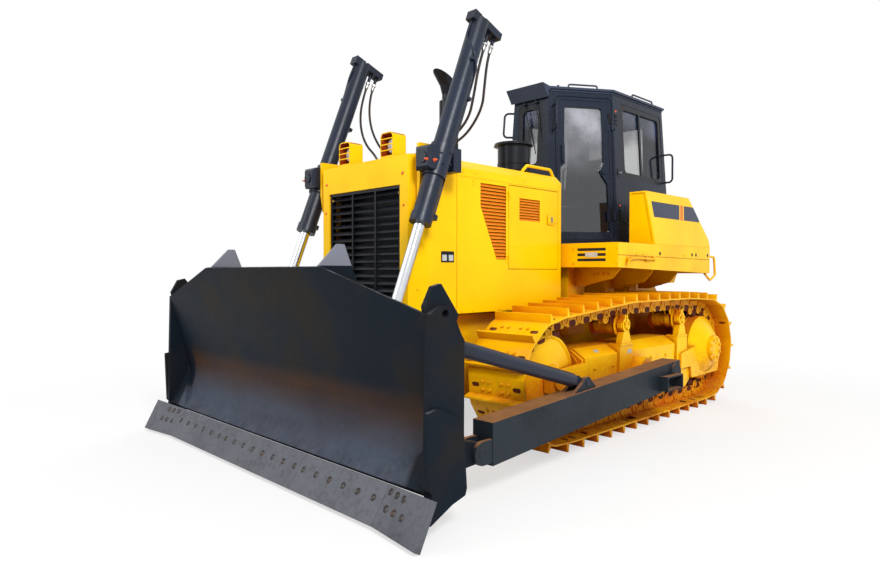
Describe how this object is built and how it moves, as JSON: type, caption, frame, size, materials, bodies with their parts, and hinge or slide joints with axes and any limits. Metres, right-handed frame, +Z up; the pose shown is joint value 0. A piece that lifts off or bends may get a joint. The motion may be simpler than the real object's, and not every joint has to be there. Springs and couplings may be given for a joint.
{
  "type": "crawler dozer",
  "caption": "Crawler dozer with a straight tilt blade on push arms, two lift cylinders, a hooded engine and a six-sided glazed cab on tracks.",
  "frame": {"origin": "on the ground under the middle of the whole machine", "axes": "+X forward to the blade, +Y to the machine's left, +Z up"},
  "size_m": [5.453, 3.63, 3.4761],
  "materials": {
    "yellow_paint": "gloss",
    "dark_paint": "satin",
    "cab_paint": "satin",
    "black_paint": "satin",
    "chrome_rod": "polished",
    "track_steel": "satin",
    "tinted_glass": "clear",
    "seat_vinyl": "matte",
    "cast_engine": "matte",
    "lamp_glass": "clear",
    "hose_rubber": "matte",
    "steel_fittings": "satin"
  },
  "bodies": {
    "root": {"cab_roof": "cab_paint", "cab_shell": "cab_paint", "cab_windows": "tinted_glass", "carrier_rollers": "yellow_paint", "console": "seat_vinyl", "drawbar": "yellow_paint", "engine_block": "cast_engine", "equalizer_bar": "yellow_paint", "exhaust_stack": "black_paint", "fender_boxes": "yellow_paint", "final_drives": "yellow_paint", "front_lamps": "yellow_paint", "fuel_tank": "yellow_paint", "grille": "black_paint", "hood_sides": "yellow_paint", "hood_top": "yellow_paint", "hose_fittings": "steel_fittings", "hull": "yellow_paint", "idlers": "yellow_paint", "lamp_lenses": "lamp_glass", "platform": "yellow_paint", "pre_cleaner": "black_paint", "radiator_core": "black_paint", "radiator_guard": "yellow_paint", "rear_case": "yellow_paint", "seat": "seat_vinyl", "sprockets": "yellow_paint", "track_frame_left": "yellow_paint", "track_frame_right": "yellow_paint", "track_left": "track_steel", "track_right": "track_steel", "track_rollers": "yellow_paint", "window_frames": "black_paint"},
    "blade_group": {"blade": "dark_paint", "cutting_edges": "dark_paint", "push_arms": "dark_paint", "blade_braces": "dark_paint"},
    "lift_barrel_left": {"lift_barrel_left": "dark_paint", "lift_hoses_left": "hose_rubber"},
    "lift_rod_left": {"lift_rod_left": "chrome_rod"},
    "cab_door_left": {"cab_door_left": "cab_paint", "door_glass_left": "tinted_glass"},
    "engine_door_left": {"engine_door_left": "yellow_paint"},
    "lift_barrel_right": {"lift_barrel_right": "dark_paint", "lift_hoses_right": "hose_rubber"},
    "lift_rod_right": {"lift_rod_right": "chrome_rod"},
    "cab_door_right": {"cab_door_right": "cab_paint", "door_glass_right": "tinted_glass"},
    "engine_door_right": {"engine_door_right": "yellow_paint"}
  },
  "joints": [
    {"name": "blade_lift", "type": "hinge", "parent": "root", "child": "blade_group", "pos_m": [-0.66, 0, 0.52], "axis": [0, -1, 0], "range_deg": [-9, 20.5]},
    {"name": "lift_swing_left", "type": "hinge", "parent": "root", "child": "lift_barrel_left", "pos_m": [1.515, 0.753, 2.27], "axis": [0, -1, 0], "range_deg": [-4.72, 10.49], "deforming": ["lift_hoses_left"]},
    {"name": "lift_stroke_left", "type": "slide", "parent": "lift_barrel_left", "child": "lift_rod_left", "axis": [0.3667, 0, -0.9303], "range_m": [-0.971, 0.4291]},
    {"name": "cab_door_left", "type": "hinge", "parent": "root", "child": "cab_door_left", "pos_m": [-1.12658, 0.67247, 2.01723], "axis": [-0.032, -0.0499, 0.9982], "range_deg": [0, 70]},
    {"name": "engine_door_left", "type": "hinge", "parent": "root", "child": "engine_door_left", "pos_m": [0.5635, 0.647, 1.5464], "axis": [0, 0, -1], "range_deg": [0, 110]},
    {"name": "lift_swing_right", "type": "hinge", "parent": "root", "child": "lift_barrel_right", "pos_m": [1.515, -0.753, 2.27], "axis": [0, -1, 0], "range_deg": [-4.72, 10.49], "deforming": ["lift_hoses_right"]},
    {"name": "lift_stroke_right", "type": "slide", "parent": "lift_barrel_right", "child": "lift_rod_right", "axis": [0.3667, 0, -0.9303], "range_m": [-0.971, 0.4291]},
    {"name": "cab_door_right", "type": "hinge", "parent": "root", "child": "cab_door_right", "pos_m": [-1.12658, -0.67247, 2.01723], "axis": [0.032, -0.0499, -0.9982], "range_deg": [0, 70]},
    {"name": "engine_door_right", "type": "hinge", "parent": "root", "child": "engine_door_right", "pos_m": [0.5635, -0.647, 1.5464], "axis": [0, 0, 1], "range_deg": [0, 110]}
  ],
  "couplings": [
    {"joint": "lift_swing_left", "follows": "blade_lift", "ratio": 0.502},
    {"joint": "lift_stroke_left", "follows": "blade_lift", "m_per_rad": -2.7},
    {"joint": "lift_swing_right", "follows": "blade_lift", "ratio": 0.502},
    {"joint": "lift_stroke_right", "follows": "blade_lift", "m_per_rad": -2.7}
  ]
}
